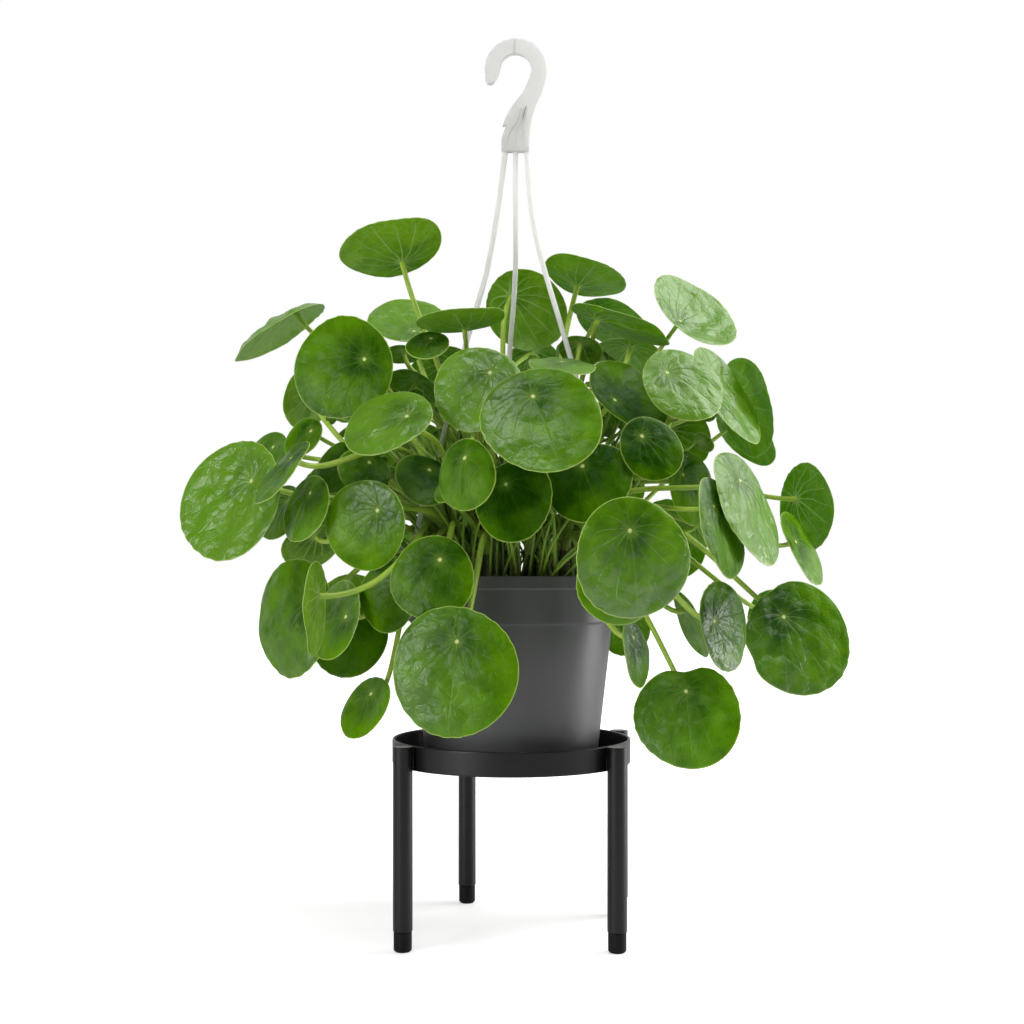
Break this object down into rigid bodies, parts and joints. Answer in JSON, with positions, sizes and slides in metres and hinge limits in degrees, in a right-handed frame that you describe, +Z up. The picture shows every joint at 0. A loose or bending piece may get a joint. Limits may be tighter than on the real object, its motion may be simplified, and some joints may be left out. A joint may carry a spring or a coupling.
{
  "type": "potted pilea plant",
  "caption": "Round-leaved pilea houseplant in a tapered dark plastic hanging pot with its white plastic hook and strands, standing in a low black metal plant stand.",
  "frame": {"origin": "On the floor under the common axis of the pot and the stand, at the middle of the footprint and at the underside of the feet.", "axes": "+Z up through the pot to the hook, +X to the right and +Y away from the side that the picture shows."},
  "size_m": [0.4798, 0.3716, 0.6686],
  "materials": {
    "leaf": "satin",
    "soil": "matte",
    "pot_plastic": "satin",
    "hanger_plastic": "satin",
    "stand_metal": "satin",
    "foot_plastic": "matte"
  },
  "bodies": {
    "root": {"pot": "pot_plastic", "soil": "soil", "tray": "stand_metal", "leg_front_left": "stand_metal", "leg_front_right": "stand_metal", "leg_back_right": "stand_metal", "leg_back_left": "stand_metal", "foot_front_left": "foot_plastic", "foot_front_right": "foot_plastic", "foot_back_right": "foot_plastic", "foot_back_left": "foot_plastic", "hanger_hook": "hanger_plastic", "strand_left": "hanger_plastic", "strand_right": "hanger_plastic", "strand_back": "hanger_plastic", "leafy_stem_a": "leaf", "leafy_stem_b": "leaf", "leafy_stem_c": "leaf", "leafy_stem_d": "leaf", "leafy_stem_e": "leaf", "leafy_stem_f": "leaf", "leafy_stem_g": "leaf", "leafy_stem_h": "leaf", "leafy_stem_i": "leaf", "leafy_stem_j": "leaf", "leafy_stem_k": "leaf", "leafy_stem_l": "leaf", "leafy_stem_m": "leaf"}
  },
  "joints": []
}
